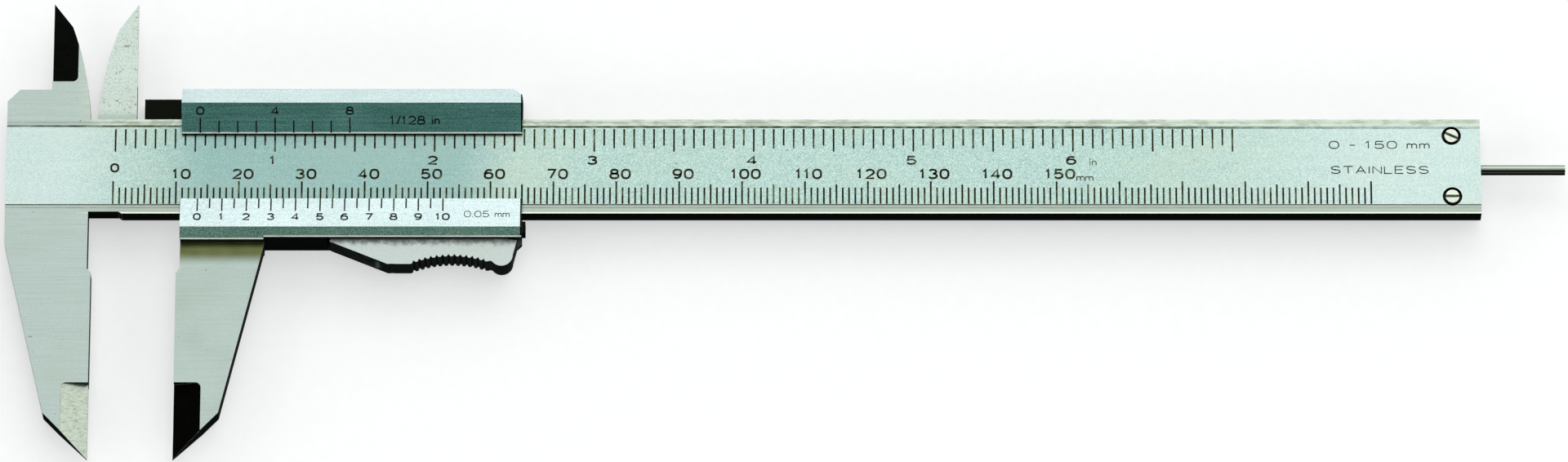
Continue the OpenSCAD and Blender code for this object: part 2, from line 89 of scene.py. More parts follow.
# ---- node helpers ----
class Graph:
    """Builds a node tree from calls that take numbers, colours or sockets as inputs."""

    def __init__(self, tree):
        self.tree = tree
        tree.nodes.clear()

    def node(self, kind, inputs=(), **settings):
        made = self.tree.nodes.new(kind)
        for key, value in settings.items():
            setattr(made, key, value)
        for key, value in dict(inputs).items():
            if isinstance(value, bpy.types.NodeSocket):
                self.tree.links.new(value, made.inputs[key])
            else:
                made.inputs[key].default_value = value
        return made

    def math(self, operation, a, b=0.0):
        return self.node("ShaderNodeMath", {0: a, 1: b}, operation=operation).outputs[0]

    def fold(self, operation, values):
        result = values[0]
        for value in values[1:]:
            result = self.math(operation, result, value)
        return result

    def times(self, *values):
        return self.fold("MULTIPLY", values)

    def plus(self, *values):
        return self.fold("ADD", values)

    def most(self, *values):
        return self.fold("MAXIMUM", values)

    def without(self, value):
        return self.math("SUBTRACT", 1.0, value)

    def ramp(self, value, low, high, to_low=0.0, to_high=1.0, soft=True):
        """value's way from low to high, as a number from to_low to to_high."""
        kind = "SMOOTHSTEP" if soft else "LINEAR"
        return self.node("ShaderNodeMapRange", {0: value, 1: low, 2: high, 3: to_low, 4: to_high},
                         interpolation_type=kind).outputs[0]

    def falls(self, value, low, high):
        """1 below low, 0 above high."""
        return self.ramp(value, low, high, 1.0, 0.0)

    def band(self, value, low, high, edge):
        """1 between low and high, 0 outside, with soft edges."""
        inside = self.ramp(value, low - edge, low + edge)
        return self.times(inside, self.falls(value, high - edge, high + edge))

    def mix(self, share, a, b, blend="MIX"):
        made = self.tree.nodes.new("ShaderNodeMix")
        made.data_type = "RGBA"
        made.blend_type = blend
        for key, value in ((0, share), (6, a), (7, b)):
            if isinstance(value, bpy.types.NodeSocket):
                self.tree.links.new(value, made.inputs[key])
            else:
                made.inputs[key].default_value = value if key == 0 else (*value, 1.0)
        return made.outputs[2]

    def grey(self, value):
        return self.node("ShaderNodeCombineXYZ", {0: value, 1: value, 2: value}).outputs[0]

    def here(self):
        """The place on the object in millimetres, as a vector and its three parts."""
        raw = self.node("ShaderNodeTexCoord").outputs["Object"]
        offset = (-zero_x / MM, -centre_y / MM, 0.0)
        to_mm = {"Vector": raw, "Location": offset, "Scale": even(1 / MM)}
        spot = self.node("ShaderNodeMapping", to_mm).outputs[0]
        return (spot, *self.node("ShaderNodeSeparateXYZ", {0: spot}).outputs)

    def facing(self):
        """The three parts of the flat surface's own direction."""
        flat = self.node("ShaderNodeNewGeometry").outputs["True Normal"]
        return self.node("ShaderNodeSeparateXYZ", {0: flat}).outputs

    def noise(self, spot, scale, detail=2.0, rough=0.5):
        """Noise with that many waves per millimetre along each axis."""
        where = self.node("ShaderNodeMapping", {"Vector": spot, "Scale": scale}).outputs[0]
        return self.node("ShaderNodeTexNoise", {"Vector": where, "Scale": 1.0, "Detail": detail,
                                                "Roughness": rough}).outputs[0]

    def pits(self, spot, per_mm, least):
        """Sparse small spots, 1 inside them."""
        return self.ramp(self.noise(spot, even(per_mm), 1.0, 0.4), least, least + 0.04)


def upright(g, nz):
    """1 on walls."""
    return g.falls(g.math("ABSOLUTE", nz), 0.4, 0.5)


def facing_near(g, ny):
    """1 where a surface faces -Y."""
    return g.falls(ny, -0.6, -0.5)


def hollow(g, nx, nz):
    """1 on the ground hollows, which slope to the left; they are painted black as a dark reflection."""
    return g.times(g.falls(nx, -0.2, -0.1), g.ramp(nz, 0.6, 0.8))


def even(value):
    return (value, value, value)


def linear(red, green, blue):
    """A colour given as 0-255 screen values, as linear light."""
    shares = (red / 255, green / 255, blue / 255)
    return tuple(v / 12.92 if v <= 0.04045 else ((v + 0.055) / 1.055) ** 2.4 for v in shares)


def scaled(colour, by):
    return tuple(min(1.0, v * by) for v in colour)


def new_material(name):
    material = bpy.data.materials.new(name)
    material.use_nodes = True
    return material, Graph(material.node_tree)


def close(g, colour, rough, metallic, height=None, distance=0.01, gloss=0.5):
    """Ends a material with the shader, its bump and the output, and gives the shader."""
    inputs = {"Base Color": colour, "Roughness": rough, "Metallic": metallic, "Specular IOR Level": gloss}
    if height is not None:
        inputs["Normal"] = g.node("ShaderNodeBump", {"Height": height, "Distance": distance * MM,
                                                     "Strength": 1.0}).outputs[0]
    shader = g.node("ShaderNodeBsdfPrincipled", inputs)
    g.node("ShaderNodeOutputMaterial", {"Surface": shader.outputs[0]})
    return shader


# ---- what the steels share ----
# dark colour of the painted shade in corners and under ledges
CORNER_SHADE = (0.03, 0.032, 0.02)
# black for painted shade and painted dark reflection on walls, wells, recesses and hollows
BLACK = (0.003, 0.004, 0.002)
TARNISH = (0.88, 0.82, 0.68)     # shares of red, green and blue that tarnish lets through
PIT_BROWN = linear(92, 78, 48)


def grime(g, colour, share, reach_mm, shut=0.25, clear=0.85):
    """Painted shade: darkens a colour in corners and under ledges."""
    open_sky = g.node("ShaderNodeAmbientOcclusion", {"Distance": reach_mm * MM}, samples=6).outputs["AO"]
    return g.mix(g.ramp(open_sky, shut, clear, share, 0.0), colour, CORNER_SHADE)


def streaks(g, spot, lines):
    """Grinding marks, wide and four times as fine, from about 0.3 to 0.7."""
    wide = g.noise(spot, lines, 2.0, 0.6)
    fine = g.noise(spot, tuple(4 * v for v in lines), 2.0, 0.6)
    return g.plus(g.times(wide, 0.55), g.times(fine, 0.45))


def ground(g, spot, tone, lines, contrast, tarnish, spots=0.8):
    """Ground steel's colour, its streaks and its clouds: lines along one direction, tarnish, specks, pits."""
    streak = streaks(g, spot, lines)
    cloud = g.noise(spot, (0.09, 0.12, 0.12), 3.0, 0.55)
    speck = g.noise(spot, even(5.0), 2.0, 0.7)
    dark, pale = scaled(tone, 1 - contrast), scaled(tone, 1 + contrast)
    colour = g.mix(g.ramp(streak, 0.32, 0.68, soft=False), dark, pale)
    dull = tuple(v * share for v, share in zip(tone, TARNISH))
    colour = g.mix(g.ramp(cloud, 0.4, 0.75, 0.0, tarnish), colour, dull)
    colour = g.mix(g.ramp(speck, 0.35, 0.65, 0.0, 0.35, False), colour, scaled(tone, 0.72))
    colour = g.mix(g.times(g.pits(spot, 2.1, 0.775), spots), colour, PIT_BROWN)
    return colour, streak, cloud


def brushed(name, tone, rough=0.3, lines=(0.06, 3.0, 3.0), contrast=0.12, shut=0.6, reach=0.6, dark_near=0.0):
    """Ground metal for a piece that looks alike all over, with painted shade in its corners; dark_near paints
    the side that faces -Y black as a painted dark reflection.
    """
    material, g = new_material(name)
    spot = g.here()[0]
    colour, streak, cloud = ground(g, spot, tone, lines, contrast, 0.22, 0.7)
    # painted dark reflection on the side that faces -Y
    if dark_near:
        colour = g.mix(g.ramp(g.facing()[1], -0.45, 0.0, dark_near, 0.0), colour, BLACK)
    colour = grime(g, colour, shut, reach)
    sheen = g.ramp(streak, 0.3, 0.7, rough - 0.05, rough + 0.07, False)
    sheen = g.plus(sheen, g.ramp(cloud, 0.4, 0.7, 0.0, 0.06))
    close(g, colour, sheen, 1.0, streak, 0.005)
    return material


def ink(name, dark, pale):
    """Black filling in an engraved line, thinner and paler in places."""
    material, g = new_material(name)
    spot = g.here()[0]
    patch = g.noise(spot, (0.55, 0.35, 0.35), 2.0, 0.7)
    grain = g.noise(spot, even(4.0), 2.0, 0.6)
    colour = g.mix(g.ramp(patch, 0.47, 0.75), dark, pale)
    colour = g.mix(g.ramp(grain, 0.45, 0.7, 0.0, 0.4), colour, scaled(dark, 0.4))
    rough = g.ramp(grain, 0.3, 0.7, 0.55, 0.8, False)
    close(g, colour, rough, 0.0, grain, 0.006, gloss=0.08)
    return material


def edge_steel(name, tone, dark_x=None):
    """The worn line along an edge, half matt so that it shows from every side; in a pale tone it is also a
    painted highlight. Painted shade darkens it in inner corners, and where dark_x is given, also where it
    faces right and beyond dark_x."""
    material, g = new_material(name)
    spot, x = g.here()[:2]
    nicks = g.noise(spot, even(0.8), 3.0, 0.6)
    colour = g.mix(g.ramp(nicks, 0.42, 0.7), tone, scaled(tone, 0.5))
    # painted shade in inner corners
    colour = grime(g, colour, 0.97, 0.8, 0.55, 0.8)
    # painted shade: black where the edge faces right and beyond dark_x
    if dark_x:
        right = g.times(g.ramp(g.facing()[0], 0.15, 0.3), g.falls(x, BEAM_END - 1.5, BEAM_END - 0.5))
        dark = g.most(right, g.ramp(x, dark_x - 0.05, dark_x))
        colour = g.mix(g.times(dark, 0.97), colour, BLACK)
    close(g, colour, g.ramp(nicks, 0.3, 0.7, 0.22, 0.38, False), 0.45, nicks, 0.008)
    return material


# ---- the beam ----
def satin_band(g, spot, x):
    """Satin chrome and its grain: faint clouds, small pits, painted shade along the slide's stretch and
    painted light towards both ends.
    """
    grain = g.noise(spot, even(6.0), 2.0, 0.75)
    cloud = g.noise(spot, (0.05, 0.12, 0.12), 3.0, 0.6)
    satin = g.mix(g.ramp(grain, 0.3, 0.7, soft=False), linear(122, 158, 148), linear(204, 226, 220))
    satin = g.mix(g.ramp(cloud, 0.4, 0.72, 0.0, 0.35), satin, linear(186, 200, 180))
    satin = g.mix(g.times(g.pits(spot, 1.3, 0.76), 0.5), satin, linear(96, 92, 62))
    # painted shade: darker and more teal along the stretch where the slide stands
    slide_stretch_shade = g.band(x, LIP_X0 - 1, LIP_X1 - 6, 6.0)
    satin = g.mix(g.times(slide_stretch_shade, 0.55), satin, linear(116, 158, 156))
    # painted light: paler towards both ends of the beam
    end_light = g.plus(g.ramp(x, HEAD_X + 8, 6.0, 0.45, 0.0), g.ramp(x, 165.0, 210.0, 0.0, 0.4))
    return g.mix(end_light, satin, linear(214, 226, 224)), grain


def beam_steel(g, spot, x, y):
    """Ground steel and its streaks: pale and patchy along the upper step, duller along the lower one."""
    bare, streak, _ = ground(g, spot, linear(170, 186, 180), (0.05, 2.6, 2.6), 0.13, 0.25)
    past_head = g.ramp(x, HEAD_X + 10, 0.0)
    on_jaw = g.falls(y, -BEAM_HALF - 1.0, -BEAM_HALF + 0.5)
    lower_side = g.times(g.without(on_jaw), g.falls(y, -1.0, 1.0), past_head)
    bare = g.mix(g.times(lower_side, 0.3), bare, linear(150, 152, 128))
    upper_side = g.times(g.ramp(y, -1.0, 1.0), past_head)
    bare = g.mix(g.times(upper_side, 0.6), bare, linear(206, 218, 200))
    patches = g.ramp(g.noise(spot, (0.35, 1.2, 1.2), 3.0, 0.7), 0.42, 0.62)
    return g.mix(g.times(upper_side, patches, 0.45), bare, linear(128, 134, 108)), streak


def step_dirt(g, spot, x, y, nz):
    """Broken dark lines of painted shade along both steps of the band, fainter towards the beam's right end.
    """
    step = g.plus(y, g.ramp(x, HEAD_X, 200.0, -0.12, 0.2, False))
    upper = g.band(step, BAND_TOP - 0.28, BAND_TOP + 0.12, 0.06)
    upper_pale = g.band(y, BAND_TOP + 0.5, BAND_TOP + 0.85, 0.1)
    lower = g.band(y, BAND_LOW - 0.12, BAND_LOW + 0.04, 0.06)
    lower_pale = g.band(y, BAND_LOW - 0.62, BAND_LOW - 0.42, 0.08)
    lines = g.most(upper, g.times(upper_pale, 0.3), g.times(lower, 0.6), g.times(lower_pale, 0.45))
    broken = g.ramp(g.noise(spot, (0.4, 1.5, 1.5), 3.0, 0.7), 0.25, 0.6, 0.45, 1.0)
    along = g.times(g.ramp(x, HEAD_X, -4.0, 0.85, 1.0), g.ramp(x, 150.0, 210.0, 1.0, 0.5))
    return g.times(lines, broken, along, g.ramp(nz, 0.5, 0.8))


def ground_pocket(g, spot, nx, nz, colour):
    """The pocket near the fixed jaw's tip, which faces right: painted light makes it paler and mottled, and
    it is stained.
    """
    pocket = g.times(g.ramp(nx, 0.1, 0.15), g.ramp(nz, 0.8, 0.85))
    mottle = g.ramp(g.noise(spot, even(1.6), 3.0, 0.65), 0.35, 0.6, 0.45, 1.0)
    # painted light on the pocket that faces right
    colour = g.mix(g.times(pocket, mottle), colour, linear(188, 199, 183))
    stain = g.ramp(g.noise(spot, (0.9, 3.2, 3.2), 4.0, 0.7), 0.48, 0.66)
    return g.mix(g.times(pocket, stain, 0.7), colour, linear(142, 138, 108))


def beam_black(g, x, y, z, nx, ny, nz):
    """The share of painted black, as painted shade and dark reflection: screw wells, pocket end, walls that
    face right, walls that face -Y.
    """
    well = g.times(g.band(x, BEAM_END - WELL_RUN, BEAM_END - 1.0, 0.2), g.band(y, -6.7, 6.7, 0.02),
                   g.falls(z, band_z / MM - 0.3, band_z / MM - 0.2))
    wall = upright(g, nz)
    near = g.times(wall, facing_near(g, ny))
    ledge = g.times(near, g.band(y, POCKET_END - 0.3, POCKET_END + 0.05, 0.02))
    right = g.times(wall, g.ramp(nx, 0.2, 0.3), g.falls(x, BEAM_END - 1, BEAM_END - 0.5),
                    g.ramp(y, FACE_TOP, FACE_TOP + 0.1))
    return g.most(well, ledge, g.times(right, 0.9), g.times(near, 0.9))


def beam_material():
    """Satin chrome on the raised scale band, ground steel beside it and on the jaws."""
    material, g = new_material("beam_satin_and_ground")
    spot, x, y, z = g.here()
    nx, ny, nz = g.facing()
    on_band = g.ramp(z, band_z / MM - 0.05, band_z / MM - 0.02)
    satin, grain = satin_band(g, spot, x)
    bare, streak = beam_steel(g, spot, x, y)
    colour = g.mix(on_band, bare, satin)
    # painted shade: dark lines along both steps of the band
    colour = g.mix(step_dirt(g, spot, x, y, nz), colour, linear(46, 58, 40))
    colour = ground_pocket(g, spot, nx, nz, colour)
    # painted highlight: a bright rim along the beam's lower edge
    rim_highlight = g.times(g.band(y, -BEAM_HALF - 0.05, -BEAM_HALF + 0.22, 0.05), g.ramp(nz, 0.9, 0.95),
                  g.ramp(x, HEAD_X + 10, 0.0))
    colour = g.mix(g.times(rim_highlight, 0.7), colour, linear(236, 244, 230))
    # painted shade and dark reflection: black in the screw wells, at the pocket's end and on walls that face
    # right or -Y
    colour = g.mix(g.times(beam_black(g, x, y, z, nx, ny, nz), 0.99), colour, BLACK)
    # painted dark reflection: black on the ground hollows that slope to the left
    colour = g.mix(g.times(hollow(g, nx, nz), 0.985), colour, BLACK)
    # painted shade in corners and under ledges
    colour = grime(g, colour, 0.6, 0.6)
    sheen = g.plus(g.ramp(streak, 0.3, 0.7, 0.27, 0.38, False), g.times(on_band, 0.05))
    height = g.plus(g.times(streak, g.without(on_band)), g.times(grain, on_band, 0.8))
    close(g, colour, sheen, 1.0, height, 0.006)
    return material


# ---- the slide ----
def bevel_finish(g, y, near, far, speck, colour):
    """Both bevels and chamfers, coloured by the way they face as painted light and shade: speckled teal on
    the sides that face -Y, grey on those that face +Y.
    """
    coarse = g.ramp(speck, 0.3, 0.7, soft=False)
    teal = g.mix(coarse, linear(96, 156, 146), linear(178, 236, 228))
    grey = g.mix(g.ramp(speck, 0.32, 0.68, soft=False), linear(84, 112, 92), linear(206, 226, 206))
    on_chamfer = g.ramp(y, SLIDE_LOW + CHAMFER - 0.1, SLIDE_LOW + CHAMFER, 0.7, 0.0)
    colour = g.mix(near, colour, g.mix(on_chamfer, teal, grey))
    pale = g.mix(coarse, linear(128, 144, 144), linear(172, 186, 186))
    pale = g.mix(g.ramp(y, 9.0, 9.6, 0.0, 0.4), pale, linear(110, 122, 122))
    return g.mix(far, colour, pale)


def rusty_jaw(g, spot, on_inside, colour):
    """The inside jaw, paler, with brown specks in groups and fine freckles."""
    rust = g.ramp(g.noise(spot, even(2.2), 3.0, 0.65), 0.56, 0.66)
    groups = g.ramp(g.noise(spot, even(0.4), 2.0, 0.5), 0.40, 0.55)
    freckle = g.ramp(g.noise(spot, even(4.2), 2.0, 0.7), 0.5, 0.68, 0.0, 0.5)
    colour = g.mix(g.times(on_inside, 0.75), colour, linear(196, 210, 201))
    return g.mix(g.times(on_inside, g.most(g.times(rust, groups), freckle), 0.8), colour, linear(104, 94, 66))


def slide_black(g, x, y, z, facing, foot_wall, on_inside):
    """The share of painted black, as painted shade and dark reflection: recess beside the upper lip, lip
    edge, right end, pocket, steep walls.
    """
    nx, ny, nz = facing
    recess = g.times(g.band(x, LIP_X0 - 6.2, LIP_X0 - 0.02, 0.02), g.ramp(y, BEAM_HALF - 0.1, BEAM_HALF),
                     g.falls(z, 3.1, 3.3))
    lip = g.times(g.falls(ny, -0.95, -0.9), g.band(y, UP_EDGE - 0.1, UP_EDGE + 0.05, 0.01))
    end = g.times(g.ramp(x, LIP_X1 - 0.24, LIP_X1 - 0.2), g.ramp(z, 3.5, 4.0))
    front = g.times(facing_near(g, ny), g.falls(foot_wall, 0.0, 1.0))
    right = g.times(g.ramp(nx, 0.2, 0.3), g.falls(on_inside, 0.0, 1.0))
    walls = g.times(upright(g, nz), g.most(right, front), 0.9)
    return g.most(recess, lip, end, hollow(g, nx, nz), walls)


def slide_material():
    """Ground steel with painted light and shade: greener on the bevels that look towards the jaws, dark in
    its recesses.
    """
    material, g = new_material("slide_ground")
    spot, x, y, z = g.here()
    nx, ny, nz = facing = g.facing()
    colour, streak, cloud = ground(g, spot, linear(168, 184, 177), (0.06, 3.0, 3.0), 0.12, 0.2, 0.6)
    near = g.times(g.falls(ny, -0.3, -0.2), g.ramp(nz, 0.7, 0.8))
    far = g.times(g.ramp(ny, 0.2, 0.25), g.ramp(nz, 0.7, 0.8))
    # painted light and shade: the bevels and chamfers are coloured by the way they face
    colour = bevel_finish(g, y, near, far, g.noise(spot, even(5.0), 2.0, 0.75), colour)
    on_inside = g.times(g.ramp(y, 9.0, 10.0), g.falls(x, INSIDE_JAW_X, INSIDE_JAW_X + 1.0))
    colour = rusty_jaw(g, spot, on_inside, colour)
    # painted shadow of the lower lip: olive on the jaw's root and on the wall over it
    jaw_lip_shadow = g.times(g.ramp(y, SLIDE_LOW - 4.25, SLIDE_LOW - 1.95), g.falls(y, SLIDE_LOW, SLIDE_LOW + 0.2),
                   g.falls(z, ROOT_Z, ROOT_Z + 0.3), g.ramp(nz, 0.9, 0.97))
    shadow_olive = g.mix(g.ramp(cloud, 0.35, 0.65), linear(70, 74, 34), linear(100, 106, 58))
    colour = g.mix(g.times(jaw_lip_shadow, 0.95), colour, shadow_olive)
    foot_wall = g.times(facing_near(g, ny), g.falls(x, FOOT_X1, FOOT_X1 + 0.1),
                        g.falls(z, ROOT_Z + 0.7, ROOT_Z + 1.0))
    # painted shadow of the lower lip on the foot's front wall
    colour = g.mix(foot_wall, colour, linear(58, 60, 30))
    # painted shade and dark reflection: black in the recess, on the lip's edge, at the right end, in the
    # pocket and on steep walls
    black = slide_black(g, x, y, z, facing, foot_wall, on_inside)
    colour = g.mix(g.times(black, 0.996), colour, BLACK)
    # painted shade in corners and under ledges
    colour = grime(g, colour, 0.6, 0.6)
    # painted highlight: pale, matt lines along both bevels; right of the jaw the lower one lies further down
    low_y = g.plus(y, g.ramp(x, FOOT_X1, FOOT_X1 + 0.02, 0.35, 0.0))
    edge_highlight = g.most(g.band(y, UP_EDGE + 0.01, UP_EDGE + 0.2, 0.03),
                 g.band(low_y, SLIDE_LOW, SLIDE_LOW + 0.19, 0.03))
    edge_highlight = g.times(edge_highlight, near, g.ramp(g.noise(spot, even(0.5), 3.0, 0.6), 0.25, 0.5, 0.6, 1.0))
    colour = g.mix(edge_highlight, colour, (0.66, 0.72, 0.64))
    sheen = g.plus(g.ramp(streak, 0.3, 0.7, 0.25, 0.37, False), g.ramp(cloud, 0.4, 0.7, 0.0, 0.05))
    close(g, colour, sheen, g.ramp(edge_highlight, 0.0, 1.0, 1.0, 0.1, False), streak, 0.005)
    return material


# ---- the thumb lever ----
def lever_material():
    """Blasted steel on the front and back, walls and thumb pad painted dark as shade, painted shadow beside
    the lip.
    """
    material, g = new_material("lever_blasted")
    spot, _, y, z = g.here()
    colour, streak, cloud = ground(g, spot, linear(196, 207, 203), even(3.0), 0.07, 0.15, 0.4)
    # painted shadow of the slide's lower lip on the lever's face, with a ragged edge
    ragged = g.ramp(g.noise(spot, even(0.9), 3.0, 0.6), 0.3, 0.7, -0.45, 0.45, False)
    lever_lip_shadow = g.ramp(g.plus(y, ragged), SLIDE_LOW - 1.5, SLIDE_LOW - 0.1)
    colour = g.mix(g.times(lever_lip_shadow, 0.8), colour, linear(58, 64, 54))
    # painted shade: the walls and the thumb pad between the front and back are dark
    wall = g.band(z, LEVER_Z0 + 0.1, LEVER_Z1 - 0.1, 0.05)
    black = g.mix(g.ramp(cloud, 0.4, 0.7), linear(50, 60, 54), linear(76, 88, 80))
    colour = g.mix(g.times(wall, 0.97), colour, black)
    # painted shade in corners and under ledges
    colour = grime(g, colour, 0.7, 1.0)
    close(g, colour, g.ramp(streak, 0.3, 0.7, 0.42, 0.52, False), 1.0, streak, 0.006)
    return material


# ---- CAD nodes: material, and a small worn bevel on every sharp edge ----
def dress(names, material, width_mm=0.06, edge=None):
    """Gives each named node its material and bevel; edge is the bevel's own material."""
    for name in names:
        ob = nodes[name]
        ob.data.materials.clear()
        ob.data.materials.append(material)
        weld = ob.modifiers.new("weld", "WELD")
        weld.merge_threshold = 0.0005 * MM
        flat = ob.modifiers.new("flat", "DECIMATE")
        flat.decimate_type = "DISSOLVE"
        flat.angle_limit = math.radians(0.4)
        if width_mm:
            bevel = ob.modifiers.new("edge", "BEVEL")
            bevel.width = width_mm * MM
            bevel.segments = 2
            bevel.limit_method = "ANGLE"
            bevel.angle_limit = math.radians(32)
            if edge:
                ob.data.materials.append(edge)
                bevel.material = 1
        normal = ob.modifiers.new("normals", "WEIGHTED_NORMAL")
        normal.keep_sharp = True


# a pale edge tone: the edge lines are painted highlights as well as wear
bright = linear(232, 242, 236)
beam_edge = edge_steel("edge_bright", bright, BEAM_END + 1)
slide_edge = edge_steel("edge_slide", bright, LIP_X1 + 0.05)
lever_edge = edge_steel("edge_dull", linear(96, 104, 96))
# the rod's side that faces -Y is painted black as a dark reflection
rod_steel = brushed("rod_drawn", linear(150, 160, 146), 0.28, (0.05, 5.0, 5.0), 0.2, dark_near=0.93)
plate_steel = brushed("plate_ground", linear(184, 194, 183))
screw_steel = brushed("screw_turned", linear(206, 212, 198), 0.25, even(2.0), 0.2, shut=0.85, reach=0.5)
pin_steel = brushed("pin_ground", linear(120, 124, 118), 0.4, (3.0, 3.0, 0.3), 0.2)
spring_steel = brushed("spring_wire", linear(96, 100, 108), 0.35, even(2.0), 0.2)
bronze = brushed("bronze_rolled", linear(176, 128, 72), 0.38, (0.1, 2.5, 2.5), 0.14)

dress(["beam"], beam_material(), 0.07, beam_edge)
dress(["slide"], slide_material(), 0.07, slide_edge)
dress(["thumb_lever"], lever_material(), 0.07, lever_edge)
dress(["depth_rod"], rod_steel)
dress(["rod_carrier"], rod_steel, 0.03)
dress(["end_stop_plate"], plate_steel, edge=beam_edge)
screws = ["end_screw_upper", "end_screw_lower", "gib_screw_left", "gib_screw_right", "brake_adjust_screw"]
dress(screws, screw_steel, 0.04)
dress(["rod_pin_left", "rod_pin_right", "lever_pivot_pin"], pin_steel, 0.04)
dress(["lever_spring"], spring_steel, 0)
dress(["gib_strip", "brake_shoe"], bronze, 0.05)


# ---- marks: closed ribbons that lie on a flat face of the CAD ----
PROUD = 0.012 * MM               # how far a ribbon stands over its face
SUNK = 0.03 * MM                 # and how far it reaches into it


def face_at(node, x_mm, y_mm):
    """The flat CAD face seen from above at that place, as a point and a normal."""
    mesh = nodes[node].data
    tree = BVHTree.FromPolygons([v.co for v in mesh.vertices], [p.vertices for p in mesh.polygons])
    point, normal, _, _ = tree.ray_cast(at(x_mm, y_mm, 0.1), Vector((0, 0, -1)))
    return point, normal


def rails_beside(points, width, closed):
    """Left and right points of a ribbon along points, with mitred corners."""
    rails = []
    last = len(points) - 1
    for i, p in enumerate(points):
        into = (p - points[i - 1]).normalized() if i or closed else None
        out = (points[(i + 1) % len(points)] - p).normalized() if i < last or closed else into
        into = out if into is None else into
        along = into + out
        along = along.normalized() if along.length > 0.2 else out
        reach = width / 2 / max(0.6, along.dot(out))
        side = Vector((-along.y, along.x)) * reach
        rails.append((p + side, p - side))
    return rails


# height and digit width of lettering, the gap between letters and the stroke's width, in millimetres
Lettering = namedtuple("Lettering", "height wide gap stroke")


class Marks:
    """One mesh of ribbons on a flat face."""

    def __init__(self, face):
        self.point, self.normal = face
        self.bm = bmesh.new()

    def vertex(self, spot, lift):
        base = at(spot.x, spot.y)
        across = self.normal.x * (base.x - self.point.x) + self.normal.y * (base.y - self.point.y)
        base.z = self.point.z - across / self.normal.z
        return self.bm.verts.new(base + self.normal * lift)

    def ribbon(self, points, width, closed=False):
        rings = []
        for left, right in rails_beside(points, width, closed):
            corners = ((left, PROUD), (right, PROUD), (right, -SUNK), (left, -SUNK))
            rings.append([self.vertex(spot, lift) for spot, lift in corners])
        pairs = list(zip(rings, rings[1:])) + ([(rings[-1], rings[0])] if closed else [])
        for a, b in pairs:
            for k in range(4):
                self.bm.faces.new((a[k], a[(k + 1) % 4], b[(k + 1) % 4], b[k]))
        if not closed:
            self.bm.faces.new(rings[0])
            self.bm.faces.new(rings[-1][::-1])

    def write(self, text, x, y, style):
        """Text centred on x, y, in single-stroke letters."""
        widths = [ADVANCE.get(letter, 1.0) * style.wide for letter in text]
        left = x - (sum(widths) + style.gap * (len(text) - 1)) / 2
        for letter, width in zip(text, widths):
            for closed, points in GLYPHS.get(letter, ()):
                spots = [Vector((left + u * style.wide, y + (v - 0.5) * style.height)) for u, v in points]
                self.ribbon(spots, style.stroke, closed)
            left += width + style.gap

    def done(self, name, material, body):
        bmesh.ops.recalc_face_normals(self.bm, faces=self.bm.faces)
        mesh = bpy.data.meshes.new(name)
        self.bm.to_mesh(mesh)
        self.bm.free()
        mesh.materials.append(material)
        ob = bpy.data.objects.new(name, mesh)
        scene.collection.objects.link(ob)
        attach(ob, body)


def graduations(name, face, body, filling, places, foot, ends, width):
    """A row of lines from foot; ends gives where every n-th line ends, the longest first."""
    marks = Marks(face)
    for i, x in enumerate(places):
        end = next(end for step, end in ends.items() if i % step == 0)
        marks.ribbon([Vector((x, foot)), Vector((x, end))], width)
    marks.done(name, filling, body)


def lettering(name, face, body, filling, rows):
    """One piece of texts, each with its place and style."""
    marks = Marks(face)
    for text, x, y, style in rows:
        marks.write(text, x, y, style)
    marks.done(name, filling, body)


# ---- letters: strokes as open or closed lines, in shares of the digit's width and height ----
def arc(cx, cy, rx, ry, start, end, steps=12):
    """Points on an oval from one angle to another, in degrees."""
    angles = [math.radians(start + (end - start) * i / steps) for i in range(steps + 1)]
    return [(cx + rx * math.cos(a), cy + ry * math.sin(a)) for a in angles]


def oval(cx, cy, rx, ry, steps=24, square=0.85):
    """A closed oval, a little squarer than an ellipse."""
    points = []
    for i in range(steps):
        a = 2 * math.pi * i / steps
        c, s = math.cos(a), math.sin(a)
        across, up = math.copysign(abs(c) ** square, c), math.copysign(abs(s) ** square, s)
        points.append((cx + rx * across, cy + ry * up))
    return points


def arch(x0, x1):
    """The bow of a small n or m."""
    middle, half = (x0 + x1) / 2, (x1 - x0) / 2
    return arc(middle, 0.42, half, 0.22, 180, 0, 8) + [(x1, 0.0)]


